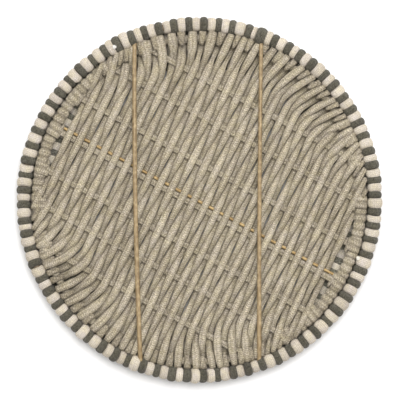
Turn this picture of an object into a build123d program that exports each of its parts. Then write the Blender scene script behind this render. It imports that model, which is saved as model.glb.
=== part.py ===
"""A round seat pad woven from cord.

Two cords, one dark and one cream, are wound side by side round an outer ring and on to a smaller
back hoop, so they stripe the rim and a border under the pad.  Inside the rim lies an inner ring,
wound with sage cord, and between its sides sage strands are woven over and under seven cross cords
and a thin cane.  Two more canes lie over the weave from rim to rim.

The origin is on the surface that the pad stands on, under its centre, with +Z up and the woven
face on top.  Lengths are in millimetres and angles in degrees.
"""

import os
from math import atan2, cos, hypot, radians, sin, sqrt, tan

from build123d import *

# Rings and hoop
pad_diameter = 400.0
rim_core_diameter = 8.0
rim_cord_thickness = 4.0
ring_core_diameter = 5.0
ring_cord_thickness = 1.8
ring_to_rim_gap = 3.1
border_width = 42.0
hoop_core_diameter = 4.0
border_cord_thickness = 3.0
hoop_drop = 10.5
foot_width = 6.0

# Rim and border cords: turns round the circle, and how much of a pair of turns the dark one takes
turns_per_colour = 73
dark_share = 0.46
turn_clearance = 0.02
first_dark_angle = 1.7

# Weave: directions of the cords, and the places of the cross cords counted along the strands,
# for an inner ring of this radius; the places keep their share of a larger or smaller ring
cross_cord_angle = -28.5
strand_lean = 2.6
cross_cord_width = 7.0
cross_cord_thickness = 3.5
cross_cord_edge_radius = 1.0
places_ring_radius = 176.6
cross_cord_places = [118.9, 81.8, 36.0, -7.2, -50.7, -86.2, -125.5]
diagonal_rod_diameter = 3.0
diagonal_rod_gap = 0.8
diagonal_rod_row = 3

# Strands: they lie closer together on the right of the weave than on the left
strand_width = 6.2
strand_thickness = 2.4
strand_shift = -4.15
strand_gap_left = 0.946
strand_gap_right = 0.346
strand_side_room = 5.0
strand_overhang = 2.0
weave_clearance = 0.15
seat_clearance = 0.05

# Bends of a strand: flat length past each side of a cross cord, the room it needs to go under
# the one next to the ring, the largest bend radius, and the share of a run that a bend may take
row_margin = 0.8
room_to_dip = 16.0
largest_bend_radius = 12.0
bend_share = 0.45

# Support rods over the weave: where each one crosses the rim, in degrees, and what binds it there
rod_diameter = 4.5
left_rod_ends = (112.1, 250.0)
right_rod_ends = (68.9, 290.4)
rod_reach = 4.5
binding_thickness = 3.0
binding_half_angle = 2.7

# Thread knots on the rim: angle round the pad, and distance inside the middle of the rim
knot_diameter = 3.6
knots = {"knot_top_left": (119.0, 1.5), "knot_right": (339.9, 7.6)}

# Places that follow from the sizes above
rim_tube_radius = rim_core_diameter / 2 + rim_cord_thickness
rim_radius = pad_diameter / 2 - rim_tube_radius
ring_tube_radius = ring_core_diameter / 2 + ring_cord_thickness
ring_radius = rim_radius - rim_tube_radius - ring_to_rim_gap - ring_tube_radius
hoop_radius = rim_radius - border_width
hoop_tube_radius = hoop_core_diameter / 2 + border_cord_thickness
ring_height = hoop_drop + hoop_tube_radius
pair_angle = 360 / turns_per_colour
strand_angle = cross_cord_angle + 90 + strand_lean
strand_top = ring_height + ring_tube_radius + seat_clearance + strand_thickness
rod_height = strand_top + seat_clearance + rod_diameter / 2
rod_end_radius = rim_radius - rod_reach

# Rows that the strands go over and under, from the top down; the diagonal rod widens its row
row_places = [place * ring_radius / places_ring_radius for place in cross_cord_places]
cross_rows = [
    (place - cross_cord_width / 2, place + cross_cord_width / 2) for place in row_places
]
diagonal_rod_place = cross_rows[diagonal_rod_row][1] + diagonal_rod_gap + diagonal_rod_diameter / 2
cross_rows[diagonal_rod_row] = (
    cross_rows[diagonal_rod_row][0],
    diagonal_rod_place + diagonal_rod_diameter / 2,
)

# How many strands fit on each side of the weave
pitch_left = strand_width + strand_gap_left
pitch_right = strand_width + strand_gap_right
widest_place = ring_radius - ring_tube_radius - strand_side_room - strand_width / 2
strands_left = int((widest_place + strand_shift) / pitch_left)
strands_right = int((widest_place - strand_shift) / pitch_right)

os.makedirs("parts", exist_ok=True)


def save(piece, name):
    """Label a finished piece and write it as its own file."""
    piece.label = name
    export_step(piece, f"parts/{name}.step")


def hoop(major_radius, height, inner_radius, outer_radius):
    """A ring round the Z axis; an inner radius above zero leaves it hollow, for a core."""
    with BuildPart() as ring:
        with BuildSketch(Plane.XZ):
            with Locations((major_radius, height)):
                Circle(outer_radius)
                if inner_radius > 0:
                    Circle(inner_radius, mode=Mode.SUBTRACT)
        revolve(axis=Axis.Z)
    return ring.part


def rod_between(ends):
    """A straight support rod over the weave, from one side of the rim to the other."""
    start, finish = [
        Vector(rod_end_radius * cos(radians(a)), rod_end_radius * sin(radians(a)), rod_height)
        for a in ends
    ]
    with BuildPart() as rod:
        with BuildSketch(Plane(origin=start, z_dir=finish - start)):
            Circle(rod_diameter / 2)
        extrude(amount=(finish - start).length)
        chamfer(rod.edges().filter_by(GeomType.CIRCLE), length=rod_diameter / 8)
    return rod.part


def cord_turn(sweep_angle, binds_rod):
    """One turn of rim cord: round the outer ring, inward under the pad and round the back hoop.

    A turn that binds a rod end rises over it on the inner side of the rim.
    """
    border_slope = (hoop_drop - rim_tube_radius + hoop_tube_radius) / (rim_radius - hoop_radius)
    border_start = hoop_radius + foot_width / 2
    border_rise = border_slope * (rim_radius - border_start)
    with BuildPart() as turn:
        with BuildSketch(Plane.XZ):
            with Locations((rim_radius, ring_height)):
                Circle(rim_tube_radius)
            with Locations((hoop_radius, hoop_tube_radius)):
                Circle(hoop_tube_radius)
            with Locations((hoop_radius, hoop_tube_radius / 2)):
                Rectangle(foot_width, hoop_tube_radius)
            with BuildLine():
                Polyline(
                    (border_start, 0),
                    (rim_radius, border_rise),
                    (rim_radius, border_rise + border_cord_thickness),
                    (border_start, border_cord_thickness),
                    close=True,
                )
            make_face()
            if binds_rod:
                with Locations((rod_end_radius - rod_diameter / 4, rod_height)):
                    Circle(rod_diameter / 2 + binding_thickness)
            with Locations((rim_radius, ring_height)):
                Circle(rim_core_diameter / 2, mode=Mode.SUBTRACT)
            with Locations((hoop_radius, hoop_tube_radius)):
                Circle(hoop_core_diameter / 2, mode=Mode.SUBTRACT)
        revolve(axis=Axis.Z, revolution_arc=sweep_angle)
    return turn.part.rotate(Axis.Z, -sweep_angle / 2)


def rim_cord(first_angle, share):
    """All turns of one rim cord, evenly spaced, those at the rod ends raised over the rods."""
    sweep_angle = pair_angle * share - turn_clearance
    plain, binding = [], []
    for n in range(turns_per_colour):
        angle = first_angle + n * pair_angle
        off_rod = [
            abs((angle - end + 180) % 360 - 180) for end in left_rod_ends + right_rod_ends
        ]
        turns = binding if min(off_rod) < binding_half_angle else plain
        turns.append(Location((0, 0, 0), (0, 0, angle)))
    with BuildPart() as cord:
        with Locations(*plain):
            add(cord_turn(sweep_angle, binds_rod=False))
        for location in binding:
            add(round_rods(cord_turn(sweep_angle, binds_rod=True).moved(location)))
    return cord.part


def round_rods(turn):
    """A placed turn of cord with room for the support rods that it binds."""
    with BuildPart() as bound:
        add(turn)
        add(left_rod, mode=Mode.SUBTRACT)
        add(right_rod, mode=Mode.SUBTRACT)
    return bound.part


def cross_span(place, half_width):
    """Half the length of a straight cord that ends against the wound inner ring."""
    inside = ring_radius - ring_tube_radius - seat_clearance
    return sqrt(inside**2 - (abs(place) + half_width) ** 2)


def cross_cord(place):
    """A flat cord across the ring, at the middle height of the weave."""
    with BuildPart() as cord:
        with BuildSketch(cross_plane):
            with Locations((0, place)):
                Rectangle(2 * cross_span(place, cross_cord_width / 2), cross_cord_width)
        extrude(amount=cross_cord_thickness / 2, both=True)
        long_edges = cord.edges().filter_by(Axis(cross_plane.origin, cross_plane.x_dir))
        fillet(long_edges, radius=cross_cord_edge_radius)
    return cord.part


def corner_radii(points):
    """A radius for each corner of a path: as large as its two runs allow."""
    radii = []
    for before, corner, after in zip(points, points[1:], points[2:]):
        first_run = (corner[0] - before[0], corner[1] - before[1])
        second_run = (after[0] - corner[0], after[1] - corner[1])
        turn = abs(atan2(second_run[1], second_run[0]) - atan2(first_run[1], first_run[0]))
        shorter = min(hypot(*first_run), hypot(*second_run))
        radii.append(min(largest_bend_radius, bend_share * shorter / tan(turn / 2)))
    return radii


def strand_path(index, offset, middle):
    """Corners of a strand's middle line: along the strand, and up from the middle of the weave.

    The strand starts on the inner ring, goes over and under the cross cords in turn, and ends on
    the ring again.  A cross cord too near the ring to go under is passed over.
    """
    on_ring = sqrt(ring_radius**2 - offset**2) + strand_overhang
    inside_ring = sqrt(
        (ring_radius - ring_tube_radius) ** 2 - (abs(offset) + strand_width / 2) ** 2
    )
    ring_level = ring_tube_radius + seat_clearance + strand_thickness / 2
    cord_level = cross_cord_thickness / 2 + weave_clearance + strand_thickness / 2
    points = [(middle - on_ring, ring_level), (middle - inside_ring, ring_level)]
    for row, (low, high) in reversed(list(enumerate(cross_rows))):
        room = inside_ring - max(high - middle, middle - low)
        if room < row_margin:
            continue
        passes_over = (index + row) % 2 == 1 or room < room_to_dip
        level = cord_level if passes_over else -cord_level
        points += [(low - row_margin, level), (high + row_margin, level)]
    points += [(middle + inside_ring, ring_level), (middle + on_ring, ring_level)]
    corners = [
        here
        for before, here, after in zip(points, points[1:], points[2:])
        if not before[1] == here[1] == after[1]
    ]
    return [points[0], *corners, points[-1]]


def strand(index):
    """One flat strand of sage cord, woven through the cross cords."""
    across = strand_place(index)
    lean = radians(strand_lean)
    start = cross_plane.origin + cross_plane.x_dir * across
    along = Vector(cos(radians(strand_angle)), sin(radians(strand_angle)), 0)
    side_plane = Plane(origin=start, x_dir=along, z_dir=along.cross(Vector(0, 0, 1)))
    path = strand_path(index, across * cos(lean), across * sin(lean))
    with BuildPart() as piece:
        with BuildSketch(side_plane):
            with BuildLine():
                edges = []
                for side in (-strand_thickness / 2, strand_thickness / 2):
                    points = [(x, y + side) for x, y in path]
                    edges.append(FilletPolyline(*points, radius=corner_radii(points)))
                Line(edges[0] @ 0, edges[1] @ 0)
                Line(edges[0] @ 1, edges[1] @ 1)
            make_face()
        extrude(amount=strand_width / 2, both=True)
    return piece.part


def strand_place(index):
    """Where a strand crosses the line through the pad's centre along the cross cords."""
    return strand_shift + index * (pitch_left if index < 0 else pitch_right)


# Plane of the cross cords
cross_plane = Plane(
    origin=(0, 0, ring_height),
    x_dir=(cos(radians(cross_cord_angle)), sin(radians(cross_cord_angle)), 0),
    z_dir=(0, 0, 1),
)

# Rings
save(hoop(rim_radius, ring_height, 0, rim_core_diameter / 2), "outer_ring")
save(hoop(ring_radius, ring_height, 0, ring_core_diameter / 2), "inner_ring")
save(hoop(hoop_radius, hoop_tube_radius, 0, hoop_core_diameter / 2), "back_hoop")
save(hoop(ring_radius, ring_height, ring_core_diameter / 2, ring_tube_radius), "ring_winding")

# Support rods, and the rim cords that bind their ends
left_rod = rod_between(left_rod_ends)
right_rod = rod_between(right_rod_ends)
save(left_rod, "left_rod")
save(right_rod, "right_rod")
save(rim_cord(first_dark_angle, dark_share), "rim_cord_dark")
save(rim_cord(first_dark_angle + pair_angle / 2, 1 - dark_share), "rim_cord_cream")

# Weave
for number, place in enumerate(row_places, start=1):
    save(cross_cord(place), f"cross_cord_{number}")

with BuildPart() as diagonal_rod:
    rod_half = cross_span(diagonal_rod_place, diagonal_rod_diameter / 2)
    rod_start = cross_plane.origin + cross_plane.y_dir * diagonal_rod_place
    rod_start -= cross_plane.x_dir * rod_half
    with BuildSketch(Plane(origin=rod_start, z_dir=cross_plane.x_dir)):
        Circle(diagonal_rod_diameter / 2)
    extrude(amount=2 * rod_half)
save(diagonal_rod.part, "diagonal_rod")

strand_indexes = range(-strands_left, strands_right + 1)
for number, start in enumerate(range(0, len(strand_indexes), 2), start=1):
    with BuildPart() as pair:
        for index in strand_indexes[start : start + 2]:
            add(strand(index))
    save(pair.part, f"strand_pair_{number:02d}")

# Thread knots, resting on the rim cords
for name, (angle, inset) in knots.items():
    reach = rim_tube_radius + knot_diameter / 2 + seat_clearance
    distance = rim_radius - inset
    with BuildPart() as knot:
        place = (
            distance * cos(radians(angle)),
            distance * sin(radians(angle)),
            ring_height + sqrt(reach**2 - inset**2),
        )
        with Locations(place):
            Sphere(knot_diameter / 2)
    save(knot.part, name)
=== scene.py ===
"""Looks of the round woven seat pad: its cords, canes, wound rings and weave, on a pale floor.

Lengths are in metres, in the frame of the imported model: +Z up, the pad's centre on the Z axis and
its back border standing on z = 0.  Angles round the pad are counted from +X towards +Y.
"""

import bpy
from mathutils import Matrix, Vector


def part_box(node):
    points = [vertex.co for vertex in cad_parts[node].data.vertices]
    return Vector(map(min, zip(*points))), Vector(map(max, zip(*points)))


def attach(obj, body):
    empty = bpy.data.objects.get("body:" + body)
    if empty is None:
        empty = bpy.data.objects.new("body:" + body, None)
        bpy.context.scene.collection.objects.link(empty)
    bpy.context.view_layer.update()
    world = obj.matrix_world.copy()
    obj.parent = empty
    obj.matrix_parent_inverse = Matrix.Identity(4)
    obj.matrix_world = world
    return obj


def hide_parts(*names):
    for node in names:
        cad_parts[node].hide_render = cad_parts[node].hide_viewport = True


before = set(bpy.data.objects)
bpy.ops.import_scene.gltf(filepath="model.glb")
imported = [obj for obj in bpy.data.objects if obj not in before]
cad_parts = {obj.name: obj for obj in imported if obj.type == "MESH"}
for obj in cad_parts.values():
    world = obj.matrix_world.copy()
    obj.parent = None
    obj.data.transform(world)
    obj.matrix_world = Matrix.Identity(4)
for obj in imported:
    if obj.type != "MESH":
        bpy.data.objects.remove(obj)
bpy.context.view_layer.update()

import bpy
import numpy as np
from mathutils import Vector

MM = 0.001
TURN = 2 * np.pi
chance = np.random.default_rng(31)


# ---------------------------------------------------------------- places that the frame gives

def flat_box(node):
    """Lowest and highest corner of a node of the frame, as arrays."""
    low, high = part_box(node)
    return np.array(low), np.array(high)


def hoop_size(node):
    """(middle radius, tube radius, height) of a ring that lies flat round the Z axis."""
    low, high = flat_box(node)
    tube = (high[2] - low[2]) / 2
    return max(high[0], high[1]) - tube, tube, (high[2] + low[2]) / 2


RIM_RADIUS, _, RING_HEIGHT = hoop_size("outer_ring")
RING_RADIUS, RING_TUBE, _ = hoop_size("ring_winding")
HOOP_RADIUS, HOOP_CORE, HOOP_HEIGHT = hoop_size("back_hoop")
RIM_TUBE = flat_box("rim_cord_cream")[1][0] - RIM_RADIUS
HOOP_TUBE = HOOP_HEIGHT
BORDER_THICKNESS = HOOP_TUBE - HOOP_CORE

CROSS_NODES = [f"cross_cord_{n}" for n in range(1, 8)]
STRAND_NODES = [f"strand_pair_{n:02d}" for n in range(1, 25)]


def middles(nodes):
    """Middle of each node's box, seen from above."""
    return np.array([np.mean(flat_box(node), axis=0)[:2] for node in nodes])


cross_middles = middles(CROSS_NODES)
UP_WEAVE = cross_middles[0] - cross_middles[-1]
UP_WEAVE /= np.linalg.norm(UP_WEAVE)
ALONG_CROSS = np.array([UP_WEAVE[1], -UP_WEAVE[0]])
CROSS_PLACES = cross_middles @ UP_WEAVE
cross_low, cross_high = flat_box("cross_cord_1")
CROSS_THICKNESS = cross_high[2] - cross_low[2]
CROSS_WIDTH = 7.0 * MM

pair_middles = middles(STRAND_NODES)
ACROSS_STRANDS = pair_middles[-1] - pair_middles[0]
ACROSS_STRANDS /= np.linalg.norm(ACROSS_STRANDS)
ALONG_STRANDS = np.array([-ACROSS_STRANDS[1], ACROSS_STRANDS[0]])
PAIR_PLACES = pair_middles @ ACROSS_STRANDS


# ---------------------------------------------------------------- meshes from arrays

def make_piece(name, points, faces, uv, tone, material, replaced=()):
    """A smooth mesh piece that rides on the pad.

    points is (n, 3), faces a list of corner lists or an (m, 4) array, uv one (u, v) a point in
    metres of cord, and tone one number a point, which the materials use to shade each cord.
    """
    mesh = bpy.data.meshes.new(name)
    mesh.from_pydata(points.reshape(-1, 3).tolist(), [], faces)
    mesh.polygons.foreach_set("use_smooth", np.ones(len(mesh.polygons), bool))
    corner_point = np.empty(len(mesh.loops), np.int32)
    mesh.loops.foreach_get("vertex_index", corner_point)
    layer = mesh.uv_layers.new(name="cord")
    layer.data.foreach_set("uv", uv.reshape(-1, 2)[corner_point].astype(np.float32).ravel())
    shade = mesh.attributes.new("tone", "FLOAT", "POINT")
    shade.data.foreach_set("value", tone.astype(np.float32).ravel())
    mesh.materials.append(material)
    mesh.update()
    piece = bpy.data.objects.new(name, mesh)
    bpy.context.scene.collection.objects.link(piece)
    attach(piece, "root")
    if replaced:
        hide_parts(*replaced)
    return piece


def grid_faces(count, rows, columns, wrap_rows, wrap_columns):
    """Quads of count separate grids of rows by columns points, as an (n, 4) array.

    Rows or columns join up, the last with the first, where wrap_rows or wrap_columns says so.
    """
    i = np.arange(rows if wrap_rows else rows - 1)
    j = np.arange(columns if wrap_columns else columns - 1)
    k, i, j = np.meshgrid(np.arange(count), i, j, indexing="ij")
    i2, j2 = (i + 1) % rows, (j + 1) % columns
    base = k * rows * columns
    corners = [base + i * columns + j, base + i2 * columns + j,
               base + i2 * columns + j2, base + i * columns + j2]
    return np.stack(corners, axis=-1).reshape(-1, 4)


def end_faces(count, rows, columns):
    """Caps for the open ends of count tubes, each of rows rings of columns points."""
    rings = np.arange(columns)
    caps = []
    for k in range(count):
        first = k * rows * columns + rings
        last = first + (rows - 1) * columns
        caps += [first.tolist(), last[::-1].tolist()]
    return caps


def tubes(path, side, half_width, half_thickness, corners, fullness=2.4):
    """Closed tubes along paths of shape (count, rows, 3), with a flattened round section.

    The section lies across the path: half_width along side, half_thickness along the normal of
    path and side, its corners filled out as a superellipse of the given fullness.  Returns the
    points, their (u, v) in metres along and round the cord, and the faces.
    """
    count, rows, _ = path.shape
    run = np.gradient(path, axis=1)
    run /= np.linalg.norm(run, axis=-1, keepdims=True)
    side = side - (side * run).sum(-1, keepdims=True) * run
    side /= np.linalg.norm(side, axis=-1, keepdims=True)
    up = np.cross(side, run)
    angle = np.arange(corners) * TURN / corners
    c, s = np.cos(angle), np.sin(angle)
    x = np.sign(c) * np.abs(c) ** (2 / fullness)
    y = np.sign(s) * np.abs(s) ** (2 / fullness)
    half_width = np.broadcast_to(half_width, (count, rows))[..., None, None]
    half_thickness = np.broadcast_to(half_thickness, (count, rows))[..., None, None]
    points = (path[:, :, None] + side[:, :, None] * x[:, None] * half_width
              + up[:, :, None] * y[:, None] * half_thickness)
    step = np.linalg.norm(np.diff(path, axis=1), axis=-1)
    length = np.concatenate([np.zeros((count, 1)), np.cumsum(step, axis=1)], axis=1)
    around = angle / TURN * 4 * half_width[..., 0]
    uv = np.stack(np.broadcast_arrays(length[..., None], around), axis=-1)
    faces = grid_faces(count, rows, corners, False, True).tolist()
    return points, uv, faces + end_faces(count, rows, corners)


def edge_share(corners):
    """Near 1 at the two edges of a tube's section and 0 on its faces, one number a corner."""
    return np.abs(np.cos(np.arange(corners) * TURN / corners)) ** 5


def smooth_step(x):
    """0 below 0, 1 above 1, and an S curve between."""
    x = np.clip(x, 0, 1)
    return x * x * (3 - 2 * x)


# ---------------------------------------------------------------- materials

def node(tree, kind, inputs=None, **settings):
    """Add a shader node, set its properties, and set or link its inputs."""
    made = tree.nodes.new(kind)
    for key, value in settings.items():
        setattr(made, key, value)
    for key, value in (inputs or {}).items():
        if isinstance(value, bpy.types.NodeSocket):
            tree.links.new(value, made.inputs[key])
        else:
            made.inputs[key].default_value = value
    return made


def maths(tree, operation, *values):
    """A Math node's result."""
    made = node(tree, "ShaderNodeMath", dict(enumerate(values)), operation=operation)
    return made.outputs[0]


def mixed(tree, share, first, second, how="MIX"):
    """A colour Mix node's result."""
    made = node(tree, "ShaderNodeMix", data_type="RGBA", blend_type=how, clamp_factor=True)
    for socket, value in zip([made.inputs[0], made.inputs[6], made.inputs[7]],
                             [share, first, second]):
        if isinstance(value, bpy.types.NodeSocket):
            tree.links.new(value, socket)
        else:
            socket.default_value = value
    return made.outputs[2]


def new_group(name, ins, outs):
    """A shader node group with float inputs and named outputs: its tree and its two end nodes."""
    tree = bpy.data.node_groups.new(name, "ShaderNodeTree")
    for key, value in ins.items():
        kind = "NodeSocketVector" if value is None else "NodeSocketFloat"
        socket = tree.interface.new_socket(key, in_out="INPUT", socket_type=kind)
        if value is not None:
            socket.default_value = value
    for key in outs:
        tree.interface.new_socket(key, in_out="OUTPUT", socket_type="NodeSocketFloat")
    return tree, node(tree, "NodeGroupInput"), node(tree, "NodeGroupOutput")


def braid_group():
    """Braided cord: rows of slanting stitches that meet in a V along the cord's middle.

    Height is a ripple of period stitch along the cord, pushed forward by slant times the
    distance from the middle of a plait, times a ripple across of period plait; Wear is broad
    soft noise, Fuzz is fine noise for stray fibres, and Tint is patchy noise for the dye.
    """
    tree, enter, leave = new_group(
        "braid", {"Place": None, "Stitch": 2.2 * MM, "Plait": 3.0 * MM, "Slant": 1.0},
        ["Height", "Wear", "Fuzz", "Tint"])
    parts = node(tree, "ShaderNodeSeparateXYZ", {0: enter.outputs["Place"]})
    across = maths(tree, "DIVIDE", parts.outputs[1], enter.outputs["Plait"])
    fold = maths(tree, "PINGPONG", across, 0.5)
    push = maths(tree, "MULTIPLY", fold, enter.outputs["Slant"])
    along = maths(tree, "DIVIDE", parts.outputs[0], enter.outputs["Stitch"])
    wobble = node(tree, "ShaderNodeTexNoise",
                  {"Vector": enter.outputs["Place"], "Scale": 260.0, "Detail": 1.0})
    phase = maths(tree, "ADD", maths(tree, "ADD", along, push), wobble.outputs[0])
    stitch = maths(tree, "ABSOLUTE", maths(tree, "SINE", maths(tree, "MULTIPLY", phase, np.pi)))
    edge = maths(tree, "ABSOLUTE", maths(tree, "SINE", maths(tree, "MULTIPLY", across, np.pi)))
    height = maths(tree, "MULTIPLY", maths(tree, "POWER", stitch, 0.6),
                   maths(tree, "POWER", edge, 0.3))
    tree.links.new(height, leave.inputs["Height"])
    spot = node(tree, "ShaderNodeTexCoord")
    wear = node(tree, "ShaderNodeTexNoise",
                {"Vector": spot.outputs["Object"], "Scale": 38.0, "Detail": 3.0})
    tree.links.new(wear.outputs[0], leave.inputs["Wear"])
    fuzz = node(tree, "ShaderNodeTexNoise",
                {"Vector": spot.outputs["Object"], "Scale": 620.0, "Detail": 2.0,
                 "Roughness": 0.75})
    tree.links.new(fuzz.outputs[0], leave.inputs["Fuzz"])
    tint = node(tree, "ShaderNodeTexNoise",
                {"Vector": spot.outputs["Object"], "Scale": 95.0, "Detail": 4.0,
                 "Roughness": 0.8})
    tree.links.new(tint.outputs[0], leave.inputs["Tint"])
    return tree


# Green and blue fall off faster than red in shaded places
GREEN_FADE, BLUE_FADE = 1.06, 1.18
# The dye is uneven, a little warmer or cooler from place to place
WARM_DYE, COOL_DYE = (1.02, 1.01, 0.92, 1), (0.99, 0.99, 1.07, 1)


def cord_material(name, base, light, dark, stitch, plait, slant, depth, crease, speckle):
    """Matt braided cord: base colour, lighter worn crowns, painted shade in the creases, and a
    braid relief.

    stitch, plait and slant shape the braid, depth is its relief in metres, crease the share of
    the dark colour painted as shade in its hollows, and speckle how much single fibres differ in
    brightness.
    """
    material = bpy.data.materials.new(name)
    material.use_nodes = True
    tree = material.node_tree
    tree.nodes.clear()
    uv = node(tree, "ShaderNodeUVMap", uv_map="cord")
    braid = node(tree, "ShaderNodeGroup", node_tree=BRAID)
    tree.links.new(uv.outputs[0], braid.inputs["Place"])
    for key, value in {"Stitch": stitch, "Plait": plait, "Slant": slant}.items():
        braid.inputs[key].default_value = value
    height, wear, fuzz, tint = [braid.outputs[k] for k in ("Height", "Wear", "Fuzz", "Tint")]
    tone = node(tree, "ShaderNodeAttribute", attribute_name="tone").outputs["Fac"]
    # Painted shade: the braid's hollows are painted towards the dark colour
    hollow_shade_share = maths(tree, "MULTIPLY", maths(tree, "SUBTRACT", 1.0, height), crease)
    hollow_shaded = mixed(tree, hollow_shade_share, base, dark)
    worn = mixed(tree, maths(tree, "MULTIPLY", wear, 0.75), hollow_shaded, light)
    fibres = node(tree, "ShaderNodeMapRange",
                  {"Value": fuzz, "From Min": 0.3, "From Max": 0.7, "To Min": 1 - speckle,
                   "To Max": 1 + 0.8 * speckle})
    shade = maths(tree, "MULTIPLY", fibres.outputs[0], tone)
    # Shaded places are a little browner than lit ones
    grey = node(tree, "ShaderNodeCombineColor", {
        0: shade, 1: maths(tree, "POWER", shade, GREEN_FADE),
        2: maths(tree, "POWER", shade, BLUE_FADE)})
    shaded = mixed(tree, 1.0, worn, grey.outputs[0], how="MULTIPLY")
    dye = node(tree, "ShaderNodeMapRange", {"Value": tint, "From Min": 0.35, "From Max": 0.65})
    dyed = mixed(tree, dye.outputs[0], WARM_DYE, COOL_DYE)
    painted = mixed(tree, 1.0, shaded, dyed, how="MULTIPLY")
    relief = maths(tree, "ADD", height, maths(tree, "MULTIPLY", fuzz, 0.5))
    bump = node(tree, "ShaderNodeBump", {"Height": relief, "Strength": 0.8, "Distance": depth})
    rough = node(tree, "ShaderNodeMapRange", {"Value": height, "To Min": 0.97, "To Max": 0.84})
    shader = node(tree, "ShaderNodeBsdfPrincipled", {
        "Base Color": painted, "Roughness": rough.outputs[0], "Normal": bump.outputs[0],
        "Specular IOR Level": 0.25, "Sheen Weight": 0.12, "Sheen Roughness": 0.6})
    node(tree, "ShaderNodeOutputMaterial", {"Surface": shader.outputs[0]})
    return material


def cane_material(name, base, light, dark):
    """Split cane: long fibres along the rod, darker flecks, and a soft satin skin."""
    material = bpy.data.materials.new(name)
    material.use_nodes = True
    tree = material.node_tree
    tree.nodes.clear()
    uv = node(tree, "ShaderNodeUVMap", uv_map="cord")
    stretch = node(tree, "ShaderNodeMapping", {"Vector": uv.outputs[0], "Scale": (18, 900, 1)})
    fibre = node(tree, "ShaderNodeTexNoise",
                 {"Vector": stretch.outputs[0], "Scale": 1.0, "Detail": 4.0, "Roughness": 0.65})
    patch = node(tree, "ShaderNodeMapping", {"Vector": uv.outputs[0], "Scale": (40, 60, 1)})
    flecks = node(tree, "ShaderNodeTexNoise", {"Vector": patch.outputs[0], "Detail": 2.0})
    ramp = node(tree, "ShaderNodeMapRange",
                {"Value": fibre.outputs[0], "From Min": 0.35, "From Max": 0.65})
    fibred = mixed(tree, ramp.outputs[0], dark, base)
    fleck = node(tree, "ShaderNodeMapRange",
                 {"Value": flecks.outputs[0], "From Min": 0.45, "From Max": 0.75})
    flecked = mixed(tree, fleck.outputs[0], fibred, light)
    bump = node(tree, "ShaderNodeBump",
                {"Height": fibre.outputs[0], "Strength": 0.5, "Distance": 0.2 * MM})
    rough = node(tree, "ShaderNodeMapRange",
                 {"Value": fibre.outputs[0], "To Min": 0.6, "To Max": 0.4})
    shader = node(tree, "ShaderNodeBsdfPrincipled", {
        "Base Color": flecked, "Roughness": rough.outputs[0], "Normal": bump.outputs[0],
        "Coat Weight": 0.1, "Coat Roughness": 0.4})
    node(tree, "ShaderNodeOutputMaterial", {"Surface": shader.outputs[0]})
    return material


def colour(red, green, blue):
    """A shader colour from the 0 to 255 values that a colour card gives."""
    card = np.array([red, green, blue]) / 255
    linear = np.where(card <= 0.04045, card / 12.92, ((card + 0.055) / 1.055) ** 2.4)
    return (*linear.tolist(), 1.0)


BRAID = braid_group()
SAGE = cord_material("sage_cord", colour(195, 183, 159), colour(217, 206, 183),
                     colour(92, 79, 56), 2.2 * MM, 2.6 * MM, 1.2, 1.5 * MM, 1.35, 0.44)
CREAM = cord_material("cream_cord", colour(228, 216, 196), colour(238, 229, 213),
                      colour(136, 118, 94), 2.3 * MM, 1.9 * MM, 1.6, 1.1 * MM, 1.0, 0.2)
DARK = cord_material("dark_cord", colour(75, 71, 58), colour(118, 113, 96),
                     colour(24, 23, 19), 2.3 * MM, 1.9 * MM, 1.6, 1.1 * MM, 1.0, 0.75)
THREAD = cord_material("white_thread", colour(236, 232, 224), colour(246, 244, 240),
                       colour(190, 184, 172), 0.9 * MM, 0.6 * MM, 1.0, 0.2 * MM, 0.5, 0.1)
CANE = cane_material("split_cane", colour(160, 137, 99), colour(188, 167, 128),
                     colour(110, 89, 59))
GOLD_CANE = cane_material("golden_cane", colour(184, 152, 96), colour(214, 188, 134),
                          colour(120, 92, 48))
CORE = cane_material("core_cane", colour(112, 96, 72), colour(140, 122, 94), colour(74, 60, 42))


# ---------------------------------------------------------------- rim and border cords

TURNS = 73
PAIR = TURN / TURNS
FIRST_DARK = np.radians(1.7)
DARK_HALF = 0.46 * PAIR / 2
FAT_SHARE = 1.3
# Points of a turn's outline round the rim, straight across, and round the hoop
RIM_STEPS, FLAT_STEPS, HOOP_STEPS = 30, 6, 18
# How deep a cord's edges sink on each of these stretches
RIM_SINK, FLAT_SINK, HOOP_SINK = 3.0 * MM, 1.2 * MM, 2.2 * MM
# A cord reaches a little past its half width; TYPICAL_HALF is an ordinary one, in parts of PAIR
CORD_REACH, TYPICAL_HALF = 1.05, 0.27
# Painted light: how much paler the stretch under the weave, which lies in shade, is painted
# than the rest of a dark and of a cream cord
DARK_PAINTED_LIGHT, CREAM_PAINTED_LIGHT = 2.2, 1.2
# The cords are wound closer in the first half of the way round, and looser in the second
DRIFT = np.radians(2.6)


def dark_angle(turn):
    """Angle of the middle of a dark turn: even steps, less DRIFT * sin(pi turn / TURNS)."""
    return FIRST_DARK + turn * PAIR - DRIFT * np.sin(np.pi * turn / TURNS)


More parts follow.
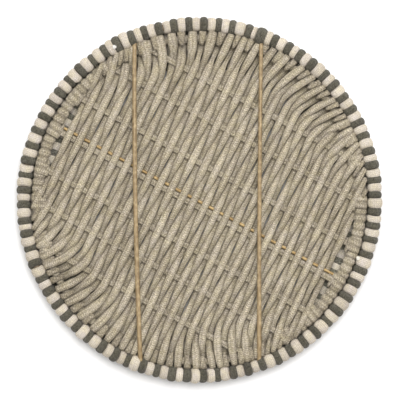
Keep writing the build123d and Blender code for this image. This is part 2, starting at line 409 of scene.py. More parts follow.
def border_outline():
    """Outline that one turn of cord follows, in (radius, height), and its outward normals.

    It goes from inside the rim over its top and outer side to its foot, straight in under the
    pad to the back hoop, round the hoop, and back on the upper side of that stretch.  Also gives
    the length along it, how deep the cord's edges sink there, the angle round the rim's core, and
    two masks: 1 on the rim, and 1 on the way back under the weave.
    """
    rim = np.array([RIM_RADIUS, RING_HEIGHT])
    hoop = np.array([HOOP_RADIUS, HOOP_HEIGHT])
    gap = rim - hoop
    # A line that touches both circles from below has this direction of its outward normal
    lean = np.arctan2(gap[1], gap[0])
    below = lean - np.arccos((HOOP_TUBE - RIM_TUBE) / np.hypot(*gap))
    rim_start = below + TURN - np.arccos((RIM_TUBE - BORDER_THICKNESS) / RIM_TUBE)
    hoop_end = below - TURN + np.arccos((HOOP_TUBE - BORDER_THICKNESS) / HOOP_TUBE)
    rim_angle = np.linspace(rim_start, below, RIM_STEPS)
    hoop_angle = np.linspace(below, hoop_end, HOOP_STEPS)
    on_rim = rim + RIM_TUBE * np.stack([np.cos(rim_angle), np.sin(rim_angle)], 1)
    on_hoop = hoop + HOOP_TUBE * np.stack([np.cos(hoop_angle), np.sin(hoop_angle)], 1)
    between = np.linspace(0, 1, FLAT_STEPS + 2)[1:-1, None]
    down = on_rim[-1] + (on_hoop[0] - on_rim[-1]) * between
    back = on_hoop[-1] + (on_rim[0] - on_hoop[-1]) * between
    points = np.concatenate([on_rim, down, on_hoop, back])
    ahead, behind = np.roll(points, -1, 0), np.roll(points, 1, 0)
    run = ahead - behind
    run /= np.linalg.norm(run, axis=1, keepdims=True)
    normal = np.stack([-run[:, 1], run[:, 0]], 1)
    step = np.linalg.norm(ahead - points, axis=1)
    length = np.concatenate([[0], np.cumsum(step)[:-1]])
    stretch = np.repeat(range(4), [RIM_STEPS, FLAT_STEPS, HOOP_STEPS, FLAT_STEPS])
    sink = np.array([RIM_SINK, FLAT_SINK, HOOP_SINK, FLAT_SINK])[stretch]
    sink = (np.roll(sink, 1) + sink + np.roll(sink, -1)) / 3
    from_rim = points - rim
    around_rim = np.arctan2(from_rim[:, 1], from_rim[:, 0])
    return (points, normal, length, sink, around_rim,
            (stretch == 0).astype(float), (stretch == 3).astype(float))


OUTLINE, OUTWARD, OUTLINE_LENGTH, SINK, AROUND_RIM, ON_RIM, UNDER_WEAVE = border_outline()
# Places across a cord where a turn has its points, from edge to edge
ACROSS_CORD = np.array([-1, -0.9, -0.7, -0.4, 0, 0.4, 0.7, 0.9, 1])


def rod_ends(node_name):
    """Middles of both ends of a support rod, the one farther along +Y first."""
    low, high = flat_box(node_name)
    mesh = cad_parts[node_name].data
    corners = np.empty(3 * len(mesh.vertices), np.float32)
    mesh.vertices.foreach_get("co", corners)
    corners = corners.reshape(-1, 3).astype(float)
    end_length = 2 * MM
    top = corners[corners[:, 1] > high[1] - end_length].mean(0)
    foot = corners[corners[:, 1] < low[1] + end_length].mean(0)
    return top, foot


rod_low, rod_high = flat_box("left_rod")
ROD_RADIUS = (rod_high[2] - rod_low[2]) / 2
ROD_HEIGHT = rod_high[2] - ROD_RADIUS
ROD_ENDS = [rod_ends("left_rod"), rod_ends("right_rod")]
END_ANGLES = np.array([np.arctan2(p[1], p[0]) for ends in ROD_ENDS for p in ends])
LEFT_TOP, RIGHT_TOP = END_ANGLES[0], END_ANGLES[2]
# Turns that bind a rod's end stand up over it: how wide that is, how high, and where on the rim
BIND_WIDTH, BIND_HEIGHT = 0.62 * PAIR, 3.8 * MM
BIND_MIDDLE, BIND_REACH = np.radians(112), np.radians(48)
# Some turns just past the left rod's top end stand out from the rest
STACK_AFTER, STACK_WIDTH, STACK_HEIGHT = np.radians(4), np.radians(4.5), 2.2 * MM
# A cord this much wider than most stands up by this much for each part that it is wider still
CROWD_FROM, CROWD_MOST, CROWD_HEIGHT = 1.15, 0.3, 10 * MM


def rim_cord(name, middle, half, painted_light, material, replaced):
    """All turns of one rim cord, each a fat strip with sunk edges that follows the outline.

    A point is outline + outward * (lift - sink * f), turned round the Z axis by the turn's
    angle plus w times its half width, with w from -1 to 1 across the cord and
    f = 1 - sqrt(1 - (0.97 w)^2), so that the section across the cord is round.  Wide cords
    sink deeper, by the square root of their width.  The stretch that the weave covers is painted
    paler, as painted light: its tone is the painted light factor times the rest.
    """
    count = len(middle)
    w = ACROSS_CORD
    f = 1 - np.sqrt(1 - (0.97 * w) ** 2)
    fat = chance.normal(0, 0.4, count) * MM
    slant = chance.normal(0, 0.05, count) * PAIR
    off_rod = np.abs((middle[:, None] - END_ANGLES + np.pi) % TURN - np.pi).min(1)
    binding = np.exp(-(off_rod / BIND_WIDTH) ** 2) * BIND_HEIGHT
    over_rod = np.exp(-((AROUND_RIM - BIND_MIDDLE) / BIND_REACH) ** 2) * ON_RIM
    crowded = np.clip(half / np.median(half) - CROWD_FROM, 0, CROWD_MOST) * CROWD_HEIGHT
    upper_side = np.clip(np.sin(AROUND_RIM) + 0.4, 0, 1) * ON_RIM
    stacked = np.exp(-((middle - LEFT_TOP - STACK_AFTER) / STACK_WIDTH) ** 2) * STACK_HEIGHT
    lift = ((fat + stacked)[:, None] * ON_RIM + binding[:, None] * over_rod
            + crowded[:, None] * upper_side)
    deeper = (half / PAIR / TYPICAL_HALF)[:, None, None] ** 0.5
    depth = lift[:, :, None] - SINK[:, None] * f * deeper
    profile = OUTLINE[:, None] + OUTWARD[:, None] * depth[..., None]
    swing = slant[:, None] * np.sin(AROUND_RIM)[None] * ON_RIM
    angle = middle[:, None, None] + swing[:, :, None] + w * (half * CORD_REACH)[:, None, None]
    points = np.stack([profile[..., 0] * np.cos(angle), profile[..., 0] * np.sin(angle),
                       profile[..., 1]], axis=-1)
    rows, columns = len(OUTLINE), len(w)
    width = w * (half * RIM_RADIUS)[:, None]
    uv = np.stack(np.broadcast_arrays(OUTLINE_LENGTH[None, :, None] + middle[:, None, None],
                                      width[:, None]), axis=-1)
    tone = (1 + chance.normal(0, 0.05, count))[:, None, None]
    # Painted light: the stretch under the weave is painted paler than the rest of the cord
    tone = tone * (1 + (painted_light - 1) * UNDER_WEAVE[:, None])
    tone = np.broadcast_to(tone, (count, rows, columns))
    faces = grid_faces(count, rows, columns, True, False).tolist()
    for k in range(count):
        edge = k * rows * columns + np.arange(rows) * columns
        faces.append(edge[::-1].tolist())
        faces.append((edge + columns - 1).tolist())
    return make_piece(name, points, faces, uv, tone, material, replaced)


turn_numbers = np.arange(TURNS)
dark_middle = dark_angle(turn_numbers) + chance.normal(0, 0.045, TURNS) * PAIR
next_dark = np.append(dark_middle[1:], dark_middle[0] + TURN)
dark_half = DARK_HALF * (1 + chance.normal(0, 0.06, TURNS))
# The dark turn that follows the right rod's top end is a fat one
fat_turn = np.argmin(np.mod(dark_middle - RIGHT_TOP, TURN))
dark_half[fat_turn] *= FAT_SHARE
cream_low = dark_middle + dark_half
cream_high = next_dark - np.append(dark_half[1:], dark_half[0])
rim_cord("dark_rim_cord", dark_middle, dark_half, DARK_PAINTED_LIGHT, DARK,
         ["rim_cord_dark"])
rim_cord("cream_rim_cord", (cream_low + cream_high) / 2, (cream_high - cream_low) / 2,
         CREAM_PAINTED_LIGHT, CREAM, ["rim_cord_cream"])


# ---------------------------------------------------------------- inner ring

WINDING_TURNS = 138
WINDING_COLUMNS = 20
# Places across a turn of the winding; the next turn begins where w would be 1
ACROSS_TURN = np.array([-1, -0.86, -0.6, -0.3, 0, 0.3, 0.6, 0.86])
TURN_SINK = 1.0 * MM
# A full turn is fatter by FULL_THICKER, and pushed out from the pad's middle by FULL_OUTWARD
FULL_THICKER, FULL_OUTWARD = 0.9 * MM, 1.6 * MM


def ring_winding():
    """Sage cord wound round the inner ring, as one surface with a crease between turns.

    On the ring, a is the angle round the pad and b the angle round the core.  The tube's radius
    is that of the ring less TURN_SINK * (1 - sqrt(1 - (0.99 w)^2)), where w from -1 to 1 is the
    place across a turn.  a = pitch * (turn + (w + 1) / 2 + s), where s goes from 0 to 1 under
    the ring, so a turn lies square over the top and goes on to the next one below.
    """
    turns, columns, w = WINDING_TURNS, WINDING_COLUMNS, ACROSS_TURN
    rows = turns * len(w)
    pitch = TURN / turns
    place = (np.arange(turns)[:, None] + (w + 1) / 2).ravel()
    b = np.arange(columns) * TURN / columns
    a = pitch * (place[:, None] + smooth_step(b / np.pi - 1))
    uneven = 0.10 * pitch * np.sin(place * 2.1)[:, None]
    across = np.tile(w, turns)
    sink = TURN_SINK * (1 - np.sqrt(1 - (0.99 * across) ** 2))
    # Where no strand goes over the ring its winding is full, elsewhere it is pressed thin
    side = np.abs(np.cos(a - np.arctan2(ALONG_CROSS[1], ALONG_CROSS[0])))
    full = smooth_step((side - 0.80) / 0.1)
    tube = RING_TUBE - sink[:, None] * (1 + full) + full * FULL_THICKER
    radius = RING_RADIUS + (tube + full * FULL_OUTWARD) * np.cos(b)
    angle = a + uneven * np.sin(b)
    points = np.stack([radius * np.cos(angle), radius * np.sin(angle),
                       RING_HEIGHT + tube * np.sin(b)], axis=-1)
    uv = np.stack(np.broadcast_arrays(b * RING_TUBE + 0.003 * place[:, None],
                                      across[:, None] * 4 * MM), axis=-1)
    # Painted shade: the whole winding is a little darker, and each turn darker towards its edges,
    # in the creases between turns; besides that each turn has a random tone
    turn_tone = 0.9 * np.repeat(1 + chance.normal(0, 0.06, turns), len(w))
    tone = np.broadcast_to((turn_tone * (1 - 0.36 * across ** 4))[:, None], (rows, columns))
    # The last ring of points meets the first one turned once more round the pad, so it is closed
    faces = grid_faces(1, rows, columns, True, True)
    i = faces // columns
    j = faces % columns
    wrapped = (j == 0) & (np.max(j, axis=1, keepdims=True) == columns - 1)
    i = np.where(wrapped, (i + len(w)) % rows, i)
    faces = i * columns + j
    return make_piece("inner_ring_winding", points, faces.tolist(), uv, tone, SAGE,
                      ["ring_winding"])


ring_winding()


# ---------------------------------------------------------------- weave

HALF_PITCH = np.gradient(PAIR_PLACES) / 4
STRAND_OFFSETS = np.stack([PAIR_PLACES - HALF_PITCH, PAIR_PLACES + HALF_PITCH], 1).ravel()
STRAND_PITCHES = np.repeat(2 * HALF_PITCH, 2)
# The outermost strands lie a little farther out, and every strand a little off its place
SPREAD_FROM, SPREAD_BY = 115 * MM, 3.0 * MM
beyond = smooth_step((np.abs(STRAND_OFFSETS) - SPREAD_FROM) / (RING_RADIUS - SPREAD_FROM))
STRAND_OFFSETS = STRAND_OFFSETS + np.sign(STRAND_OFFSETS) * SPREAD_BY * beyond
STRAND_OFFSETS = STRAND_OFFSETS + chance.normal(0, 0.25, len(STRAND_OFFSETS)) * MM
# The thin diagonal cane lies beside this cross cord, and strands pass both at the same level
ROD_ROW = 3
diagonal_low, diagonal_high = flat_box("diagonal_rod")
DIAGONAL_RADIUS = (diagonal_high[2] - diagonal_low[2]) / 2
DIAGONAL_PLACE = float(middles(["diagonal_rod"])[0] @ UP_WEAVE)
row_low = CROSS_PLACES - CROSS_WIDTH / 2
row_high = CROSS_PLACES + CROSS_WIDTH / 2
row_high[ROD_ROW] = DIAGONAL_PLACE + DIAGONAL_RADIUS

STRAND_HALF = 1.6 * MM
OVER = CROSS_THICKNESS / 2 + STRAND_HALF
# A strand keeps its level this far past a row's edges, and rows nearer to an end are left out
ROW_MARGIN, ROW_CLEAR = 1.5 * MM, 16 * MM
RUN_POINTS = 150
# Strands waver this much sideways, in waves of this size, and less over this far from an end
WAVER, WAVER_LENGTH, WAVER_FADE = 0.5 * MM, 34 * MM, 30 * MM

# How a strand goes round the ring: its distance from the winding, how much farther it reaches
# outward, and how far round it goes when it comes from above and from below
HOOK_CLEAR = 1.3 * MM
HOOK_SIZE = RING_TUBE + HOOK_CLEAR
HOOK_REACH = 1.9 * MM
HOOK_OVER, HOOK_UNDER = np.radians(118), np.radians(232)
HOOK_POINTS = 14
HOOK_THICKNESS = 2.5 * MM
# The change to the hook's section begins this many points before it, and takes this many
HOOK_LEAD, HOOK_FADE = 6, 10
TIP_POINTS = 7
TIP_WIDTH = 0.62

# Strands spread like a fan near the ring: over which length, and how far at most at each end
# and on each side of the fan's middle there
FAN_LENGTH = 36 * MM
FAN_SHIFT = {(0, -1): 20 * MM, (0, 1): 16 * MM, (1, -1): 16 * MM, (1, 1): 19 * MM}
FAN_BEND = 1.7
FAN_EDGE = 164 * MM
FAN_MIDDLES = (8 * MM, -38 * MM)
# The narrowest and the widest that the fan makes a strand, in parts of its width
CROWD_LIMITS = (0.75, 1.35)

# Parts of the pitch: how wide a strand is beside its neighbours, and how much more on a row
SQUEEZED, SWELL = 0.98, 0.25
# Strands with offsets in this stretch that go under the ring at the top are thinner there
THIN_FROM, THIN_TO, THIN_BY = -68 * MM, 12 * MM, 0.32
STRAND_CORNERS = 14
EDGE_SHADE = 0.56


def fan(offset, end):
    """How far a strand is spread sideways at an end, and how fast that grows with its offset.

    It is FAN_SHIFT * sin(pi d / p)^2 away from the fan's middle, d being the distance from there
    and p the distance from there to FAN_EDGE on the same side.
    """
    d = offset - FAN_MIDDLES[end]
    side = np.sign(d)
    most = FAN_SHIFT[end, int(side)]
    period = FAN_EDGE - side * FAN_MIDDLES[end]
    shift = side * most * np.sin(np.pi * d / period) ** 2
    return shift, np.pi * most / period * np.sin(TURN * abs(d) / period)


def strand_height(index, offset, ends, t):
    """Height above the ring's middle at places t along a strand, and whether it ends above.

    The height eases from level to level, over one cross cord and under the next.  The second
    result is true at an end where the strand comes to the ring from above.
    """
    rise = float(ALONG_STRANDS @ UP_WEAVE)
    drift = float(ACROSS_STRANDS @ UP_WEAVE)
    low = (row_low - offset * drift) / rise
    high = (row_high - offset * drift) / rise
    knots, levels = [], []
    for row in range(len(low) - 1, -1, -1):
        if low[row] < -ends[0] + ROW_CLEAR or high[row] > ends[1] - ROW_CLEAR:
            continue
        level = OVER if (index + row) % 2 else -OVER
        knots += [low[row] - ROW_MARGIN, high[row] + ROW_MARGIN]
        levels += [level, level]
    goes_over = (levels[0] < 0, levels[-1] < 0)
    first, last = [HOOK_SIZE if over else -HOOK_SIZE for over in goes_over]
    knots = np.array([-ends[0], *knots, ends[1]])
    levels = np.array([first, *levels, last])
    place = np.clip(np.searchsorted(knots, t, side="right") - 1, 0, len(knots) - 2)
    share = (t - knots[place]) / (knots[place + 1] - knots[place])
    height = levels[place] + (levels[place + 1] - levels[place]) * smooth_step(share)
    return height, goes_over


def hook(run, end, over):
    """The bend with which a strand's run goes round the ring at one end.

    From above it bends down round the outside of the ring; from below it goes on round the
    outside and back over the top.  Points are in the order of the strand.
    """
    tip, before = (run[0], run[1]) if end == 0 else (run[-1], run[-2])
    heading = (tip - before)[:2]
    heading /= np.linalg.norm(heading)
    outward = tip[:2] / np.linalg.norm(tip[:2])
    # A strand that meets the ring at a slant needs a longer way past it
    stretch = min(1 / max(heading @ outward, 0.3), 1.6)
    turn = np.linspace(0, HOOK_OVER if over else HOOK_UNDER, HOOK_POINTS + 1)[1:]
    swollen = 1 + chance.uniform(0, 0.14) * np.sin(np.minimum(turn, np.pi))
    out = np.sign(np.sin(turn)) * np.abs(np.sin(turn)) ** 0.75
    flat = tip[:2] + (out * (HOOK_SIZE + HOOK_REACH) * stretch)[:, None] * heading
    z = RING_HEIGHT + np.cos(turn) * HOOK_SIZE * swollen * (1 if over else -1)
    bend = np.concatenate([flat, z[:, None]], axis=1)
    return bend[::-1] if end == 0 else bend


def level_sides(run):
    """Side directions along a strand with its hooks: level, and square to the way it runs."""
    step = np.diff(run[:, :2], axis=0)
    step = np.concatenate([step[:1], (step[1:] + step[:-1]) / 2, step[-1:]])
    side = np.stack([step[:, 1], -step[:, 0], np.zeros(len(step))], 1)
    return np.concatenate([np.repeat(side[:1], HOOK_POINTS, 0), side,
                           np.repeat(side[-1:], HOOK_POINTS, 0)])


def fan_crowding(offset, fans, fan_ends, ends, q0, q1):
    """How much wider or narrower the fan leaves room for a strand, along it."""
    spread = 1 + fans[0][1] * q0 ** FAN_BEND + fans[1][1] * q1 ** FAN_BEND
    slopes = [FAN_BEND * fan_ends[0] * q0 ** (FAN_BEND - 1) / FAN_LENGTH,
              FAN_BEND * fan_ends[1] * q1 ** (FAN_BEND - 1) / FAN_LENGTH]
    spread += offset * (slopes[0] / ends[0] + slopes[1] / ends[1])
    return np.clip(spread / np.hypot(1, slopes[0] + slopes[1]), *CROWD_LIMITS)


def strand(index, offset):
    """One strand's middle line: points, side directions, widths, thicknesses and tone.

    Near the ring it spreads sideways by fan * q^FAN_BEND, where q goes from 0 to 1 over the last
    FAN_LENGTH.  It ends in a hook on both sides, and gets narrower at the hooks' tips.
    """
    fans = [fan(offset, end) for end in (0, 1)]
    fan_ends = np.array([f[0] for f in fans]) * chance.uniform(0.9, 1.1, 2)
    ends = [np.sqrt(max(RING_RADIUS ** 2 - (offset + f) ** 2, 0)) for f in fan_ends]
    t = np.linspace(-ends[0], ends[1], RUN_POINTS)
    height, goes_over = strand_height(index, offset, ends, t)
    q0 = np.clip(1 - (t + ends[0]) / FAN_LENGTH, 0, 1)
    q1 = np.clip(1 - (ends[1] - t) / FAN_LENGTH, 0, 1)
    waver = WAVER * np.sin(t / WAVER_LENGTH + chance.uniform(0, TURN))
    waver = waver * smooth_step((ends[1] - np.abs(t)) / WAVER_FADE)
    across = offset + fan_ends[0] * q0 ** FAN_BEND + fan_ends[1] * q1 ** FAN_BEND + waver
    flat = across[:, None] * ACROSS_STRANDS + t[:, None] * ALONG_STRANDS
    run = np.concatenate([flat, (RING_HEIGHT + height)[:, None]], axis=1)
    line = np.concatenate([hook(run, 0, goes_over[0]), run, hook(run, 1, goes_over[1])])

    first, last = [HOOK_SIZE if over else -HOOK_SIZE for over in goes_over]
    lift = np.concatenate([np.full(HOOK_POINTS, first), height, np.full(HOOK_POINTS, last)])
    ones, none = np.ones(HOOK_POINTS), np.zeros(HOOK_POINTS)
    q0, q1 = np.concatenate([ones, q0, none]), np.concatenate([none, q1, ones])
    near_end = np.minimum(np.arange(len(line)), np.arange(len(line))[::-1])
    hooked = smooth_step((HOOK_POINTS + HOOK_LEAD - near_end) / HOOK_FADE)
    tip_share = smooth_step(near_end / TIP_POINTS)
    # A cord is squeezed narrow where it passes its neighbours, and full over and under a row
    pitch = STRAND_PITCHES[index]
    crowd = fan_crowding(offset, fans, fan_ends, ends, q0, q1)
    level_share = smooth_step(np.abs(lift) / OVER)
    width = (SQUEEZED + SWELL * level_share) * pitch * chance.normal(1, 0.025)
    width = width * crowd
    if THIN_FROM < offset < THIN_TO and not goes_over[1]:
        width = width * (1 - THIN_BY * smooth_step(q1 * 2.5))
    width = width * (1 - hooked) + chance.uniform(0.92, 1.06) * pitch * crowd * hooked
    width = width * (TIP_WIDTH + (1 - TIP_WIDTH) * tip_share)
    thick = 2 * STRAND_HALF * (1 - hooked) + HOOK_THICKNESS * hooked
    # Painted shade: low stretches under the cross cords are darker, and so are hooks and their tips
    painted_low_shade = 0.85 + 0.15 * smooth_step((lift / OVER + 1) / 2)
    tone = (painted_low_shade * chance.normal(1, 0.05) * (1 - 0.08 * hooked)
            * (0.88 + 0.12 * tip_share))
    return line, level_sides(run), width, thick, tone


def weave():
    """One piece for each pair of strands."""
    strands = [strand(index, offset) for index, offset in enumerate(STRAND_OFFSETS)]
    lines, sides, widths, thicks, tones = [np.array(part) for part in zip(*strands)]
    points, uv, _ = tubes(lines, sides, widths / 2, thicks / 2, STRAND_CORNERS)
    tone = tones[:, :, None] * (1 - EDGE_SHADE * edge_share(STRAND_CORNERS))
    faces = grid_faces(2, lines.shape[1], STRAND_CORNERS, False, True).tolist()
    faces += end_faces(2, lines.shape[1], STRAND_CORNERS)
    uv[..., 0] += chance.uniform(0, 0.1, len(lines))[:, None, None]
    for number, name in enumerate(STRAND_NODES):
        two = slice(2 * number, 2 * number + 2)
        make_piece(f"woven_{name}", points[two], faces, uv[two], tone[two], SAGE,
                   [name])


weave()


def straight(start, finish, rows, bow=0.0):
    """Points on a line from start to finish, bowed sideways by bow * sin(pi t)."""
    t = np.linspace(0, 1, rows)[:, None]
    start, finish = np.array(start), np.array(finish)
    line = start + (finish - start) * t
    run = finish - start
    sideways = np.array([run[1], -run[0], 0]) / np.linalg.norm(run[:2])
    return line + sideways * bow * np.sin(np.pi * t)


CROSS_ROWS, CROSS_CORNERS = 90, 16
# How far inside the ring's middle line a cross cord ends, in parts of the ring's tube radius
CROSS_SHORT = 0.4


def cross_cords():
    """Seven oval sage cords, straight across the ring."""
    for number, name in enumerate(CROSS_NODES):
        place = CROSS_PLACES[number]
        half = np.sqrt((RING_RADIUS - RING_TUBE * CROSS_SHORT) ** 2 - place ** 2)
        base = place * UP_WEAVE
        start = np.append(base - half * ALONG_CROSS, RING_HEIGHT)
        finish = np.append(base + half * ALONG_CROSS, RING_HEIGHT)
        line = straight(start, finish, CROSS_ROWS)[None]
        side = np.broadcast_to(np.append(UP_WEAVE, 0), line.shape)
        points, uv, faces = tubes(line, side, CROSS_WIDTH / 2, CROSS_THICKNESS / 2,
                                  CROSS_CORNERS)
        tone = np.full(points.shape[:3], 0.9)
        make_piece(f"braided_{name}", points, faces, uv, tone, SAGE, [name])


cross_cords()


LASH_TURNS = 0.62
LASH_ROWS, LASH_CORNERS = 56, 12
LASH_HALF_WIDTH, LASH_HALF_THICKNESS = 3.6 * MM, 1.2 * MM
# How far a loop stands off the ring's winding, reaches more inward, and shifts in one turn
LASH_CLEAR, LASH_REACH, LASH_STEP = 1.5 * MM, 2.6 * MM, 4.0 * MM
LASH_SHIFTS = (-3.6 * MM, 3.4 * MM)


def lashings():
    """Loops of sage cord that tie both ends of each cross cord to the inner ring.

    Seen along the ring a loop is (r cos a, h sin a), with a from -LASH_TURNS to LASH_TURNS
    turns.  h is the winding's radius and LASH_CLEAR; r is the same outward, and up to
    LASH_REACH more inward.  Two loops lie side by side over each end.
    """
    a = np.linspace(-LASH_TURNS * TURN, LASH_TURNS * TURN, LASH_ROWS)
    tall = RING_TUBE + LASH_CLEAR
    lines, sides = [], []
    for place in CROSS_PLACES:
        for way in (-1, 1):
            half = np.sqrt(RING_RADIUS ** 2 - place ** 2)
            tie = place * UP_WEAVE + way * half * ALONG_CROSS
            for shift in LASH_SHIFTS:
                angle = np.arctan2(tie[1], tie[0]) + shift / RING_RADIUS
                outward = np.array([np.cos(angle), np.sin(angle)])
                around = np.array([-np.sin(angle), np.cos(angle), 0])
                inward = LASH_REACH * chance.uniform(0.6, 1.1) * (np.cos(a) < 0)
                flat = RING_RADIUS + (tall + inward) * np.cos(a)
                line = np.stack([flat * outward[0], flat * outward[1],
                                 RING_HEIGHT + tall * np.sin(a)], 1)
                line = line + around * (a / TURN * LASH_STEP)[:, None]
                lines.append(line)
                sides.append(np.broadcast_to(around, line.shape))
    points, uv, faces = tubes(np.array(lines), np.array(sides), LASH_HALF_WIDTH,
                              LASH_HALF_THICKNESS, LASH_CORNERS)
    # Painted shade: each loop is darker at its two edges; besides that each loop has a random tone
    painted_edge_shade = 1 - 0.4 * edge_share(LASH_CORNERS)
    tone = chance.normal(0.92, 0.05, len(lines))[:, None, None] * painted_edge_shade
    tone = np.broadcast_to(tone, points.shape[:3])
    make_piece("cross_cord_lashings", points, faces, uv, tone, SAGE)


lashings()


ROD_ROWS, ROD_CORNERS = 220, 16
# How much a cane swells at a joint and over how long, and in slow waves along it
JOINTS, JOINT_SWELL, JOINT_LENGTH = 3, 0.06, 3 * MM
WAVE_SWELL, WAVE_LENGTH = 0.03, 23 * MM
# Over this length at its ends a cane dips
DIP_LENGTH = 22 * MM


def cane_rod(name, start, finish, radius, bow, replaced, dip, material):
    """A thin cane: a tube that swells a little at its joints and dips under the cords it ends in.

    Its radius goes evenly from one end to the other, times 1 + JOINT_SWELL *
    exp(-(d / JOINT_LENGTH)^2) for each joint, d being the distance to it, and times the wave.
    """
    rows = ROD_ROWS
    line = straight(start, finish, rows, bow)
    length = np.linalg.norm(np.array(finish) - np.array(start))
    t = np.linspace(0, length, rows)
    to_end = np.minimum(t, length - t)
    line[:, 2] -= dip * (1 - smooth_step(to_end / DIP_LENGTH))
    joints = chance.uniform(0.1, 0.9, JOINTS) * length
    swell = 1 + JOINT_SWELL * np.exp(-((t[:, None] - joints) / JOINT_LENGTH) ** 2).sum(1)
    swell = swell * (1 + WAVE_SWELL * np.sin(t / WAVE_LENGTH + chance.uniform(0, TURN)))
    swell = swell * np.linspace(radius[0], radius[1], rows)
    side = np.broadcast_to([0.0, 0.0, 1.0], (1, rows, 3))
    points, uv, faces = tubes(line[None], side, swell[None], swell[None], ROD_CORNERS,
                              fullness=2.0)
    tone = np.ones(points.shape[:3])
    return make_piece(name, points, faces, uv, tone, material, replaced)


def rod_line(ends):
    """Start and finish of a support rod at its middle height."""
    return [np.append(p[:2], ROD_HEIGHT) for p in ends]


ROD_DIP = 3.0 * MM
for rod_name, ends, bow, taper in (("left_rod", ROD_ENDS[0], 2.2 * MM, (1.0, 1.12)),
                                   ("right_rod", ROD_ENDS[1], 0.8 * MM, (0.86, 1.08))):
    rod_start, rod_finish = rod_line(ends)
    cane_rod(f"cane_{rod_name}", rod_start, rod_finish, ROD_RADIUS * np.array(taper), bow,
             [rod_name], ROD_DIP, CANE)
half_diagonal = np.sqrt((RING_RADIUS - RING_TUBE) ** 2 - DIAGONAL_PLACE ** 2)
diagonal_base = DIAGONAL_PLACE * UP_WEAVE
DIAGONAL_HEIGHT = RING_HEIGHT + 0.4 * MM
cane_rod("cane_diagonal_rod",
         np.append(diagonal_base - half_diagonal * ALONG_CROSS, DIAGONAL_HEIGHT),
         np.append(diagonal_base + half_diagonal * ALONG_CROSS, DIAGONAL_HEIGHT),
         DIAGONAL_RADIUS * np.ones(2), 0.0, ["diagonal_rod"], 0.0, GOLD_CANE)


# ---------------------------------------------------------------- knots, fibres and cores

KNOT_ROWS, KNOT_CORNERS = 64, 10
# Parts of the knot's size: its path's span, the thread's radius; and how much taller it is
KNOT_SPAN, KNOT_THREAD, KNOT_TALL = 6.2, 0.16, 1.3


def thread_knot(name, replaced):
    """A small knot of white thread: one closed tube along a trefoil.

    The path is ((2 + cos 3t) cos 2t, (2 + cos 3t) sin 2t, KNOT_TALL * sin 3t), scaled to the
    width of the knot's box.
    """
    low, high = flat_box(replaced)
    centre, size = (low + high) / 2, high[0] - low[0]
    t = np.linspace(0, TURN, KNOT_ROWS, endpoint=False)
    ring = 2 + np.cos(3 * t)
    line = np.stack([ring * np.cos(2 * t), ring * np.sin(2 * t), np.sin(3 * t) * KNOT_TALL], 1)
    line = centre + line * size / KNOT_SPAN
    run = np.roll(line, -1, 0) - np.roll(line, 1, 0)
    run /= np.linalg.norm(run, axis=1, keepdims=True)
    side = np.cross(run, line - centre)
    side /= np.linalg.norm(side, axis=1, keepdims=True)
    up = np.cross(side, run)
    angle = np.arange(KNOT_CORNERS) * TURN / KNOT_CORNERS
    radius = size * KNOT_THREAD
    points = (line[:, None] + side[:, None] * np.cos(angle)[:, None] * radius
              + up[:, None] * np.sin(angle)[:, None] * radius)
    uv = np.stack(np.broadcast_arrays(t[:, None] * size, angle * radius), axis=-1)
    faces = grid_faces(1, KNOT_ROWS, KNOT_CORNERS, True, True).tolist()
    return make_piece(name, points, faces, uv, np.ones(points.shape[:2]), THREAD,
                      [replaced])


thread_knot("thread_knot_top_left", "knot_top_left")
thread_knot("thread_knot_right", "knot_right")

# Where round the pad cords are cut or rubbed, how many fibres stand out there, and their size
FRAY_RADIUS = 172 * MM
FRAY_ANGLES = np.radians([66.5, 97, 129, 291, 317, 205])
FIBRES = 7
FIBRE_RADIUS = 0.28 * MM
FIBRE_ROWS, FIBRE_CORNERS = 12, 6
FIBRE_ARCH = 2.2 * MM
# Fibres lie flatter than they spread
FLATTENED = [1, 1, 0.2]


def loose_fibres():
    """Short fibres that stand out of the cords where an end is cut or rubbed.

    Each one is a thin tube along p + a t + b t^2, raised by FIBRE_ARCH * sin(pi t), with t from
    0 to 1 and p a place near the ring.
    """
    spots = FRAY_RADIUS * np.stack([np.cos(FRAY_ANGLES), np.sin(FRAY_ANGLES)], 1)
    start = np.repeat(spots, FIBRES, axis=0)
    count = len(start)
    start = start + chance.normal(0, 3.2, (count, 2)) * MM
    height = RING_HEIGHT + RING_TUBE + chance.uniform(1.0, 2.6, count) * MM
    t = np.linspace(0, 1, FIBRE_ROWS)[None, :, None]
    run = chance.normal(0, 4.5, (count, 1, 3)) * MM * FLATTENED
    curl = chance.normal(0, 3.5, (count, 1, 3)) * MM * FLATTENED
    line = np.concatenate([start, height[:, None]], 1)[:, None] + run * t + curl * t ** 2
    line[..., 2] += FIBRE_ARCH * np.sin(np.pi * t[..., 0])
    side = np.broadcast_to([0.3, 0.2, 1.0], line.shape)
    thin = FIBRE_RADIUS * (1 - 0.5 * t[..., 0])
    points, uv, faces = tubes(line, side, thin, thin, FIBRE_CORNERS, fullness=2.0)
    make_piece("loose_fibres", points, faces, uv, np.full(points.shape[:3], 0.9), SAGE)


loose_fibres()

# The cane cores keep their own meshes, and only get a cane finish
for core in ("outer_ring", "inner_ring", "back_hoop"):
    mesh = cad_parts[core].data
    for place in range(len(mesh.materials)):
        mesh.materials[place] = CORE


# ---------------------------------------------------------------- floor, light and camera

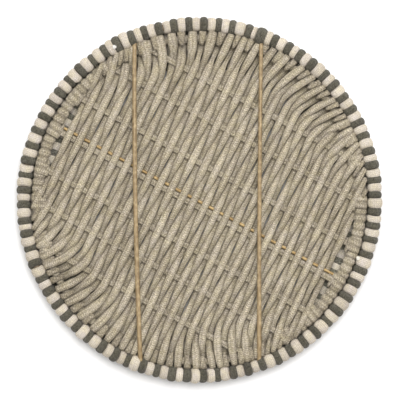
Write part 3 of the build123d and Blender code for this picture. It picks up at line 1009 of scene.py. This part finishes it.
def plain_floor():
    """A wide pale sheet that the pad lies on."""
    mesh = bpy.data.meshes.new("floor")
    reach = 6.0
    mesh.from_pydata([(-reach, -reach, 0), (reach, -reach, 0), (reach, reach, 0),
                      (-reach, reach, 0)], [], [(0, 1, 2, 3)])
    material = bpy.data.materials.new("pale_floor")
    material.use_nodes = True
    tree = material.node_tree
    tree.nodes.clear()
    spot = node(tree, "ShaderNodeTexCoord")
    grain = node(tree, "ShaderNodeTexNoise", {"Vector": spot.outputs["Object"], "Scale": 300.0})
    rough = node(tree, "ShaderNodeMapRange",
                 {"Value": grain.outputs[0], "To Min": 0.9, "To Max": 1.0})
    shader = node(tree, "ShaderNodeBsdfPrincipled",
                  {"Base Color": (0.97, 0.97, 0.97, 1), "Roughness": rough.outputs[0],
                   "Specular IOR Level": 0.0})
    node(tree, "ShaderNodeOutputMaterial", {"Surface": shader.outputs[0]})
    mesh.materials.append(material)
    floor = bpy.data.objects.new("floor", mesh)
    bpy.context.scene.collection.objects.link(floor)


def area_light(name, place, aim, size, power):
    """A square soft light at place that shines at aim."""
    light = bpy.data.lights.new(name, "AREA")
    light.shape = "SQUARE"
    light.size = size
    light.energy = power
    lamp = bpy.data.objects.new(name, light)
    lamp.location = place
    lamp.rotation_euler = (Vector(aim) - Vector(place)).to_track_quat("-Z", "Y").to_euler()
    bpy.context.scene.collection.objects.link(lamp)


plain_floor()
KEY_PLACE, KEY_SIZE, KEY_POWER = (0.27, 1.0, 2.5), 1.9, 74
area_light("key_light", KEY_PLACE, (0, 0, 0), KEY_SIZE, KEY_POWER)
SKY_COLOUR, SKY_STRENGTH = (1.0, 0.99, 0.98, 1), 0.68
world = bpy.data.worlds.new("studio")
world.use_nodes = True
world.node_tree.nodes["Background"].inputs[0].default_value = SKY_COLOUR
world.node_tree.nodes["Background"].inputs[1].default_value = SKY_STRENGTH
bpy.context.scene.world = world
bpy.context.scene.view_settings.view_transform = "Standard"

# The camera looks straight down: FRAME_WIDTH is what it sees at the height FOCUS_HEIGHT
DISTANCE = 2.5
FOCUS_HEIGHT = 0.02
FRAME_WIDTH = 0.4364
EYE_SHIFT = 0.0008
camera = bpy.data.cameras.new("camera")
camera.sensor_width = 36
camera.lens = camera.sensor_width * (DISTANCE - FOCUS_HEIGHT) / FRAME_WIDTH
eye = bpy.data.objects.new("camera", camera)
eye.location = (EYE_SHIFT, 0, DISTANCE)
eye.rotation_euler = (0, 0, 0)
bpy.context.scene.collection.objects.link(eye)
bpy.context.scene.camera = eye

bpy.context.view_layer.update()
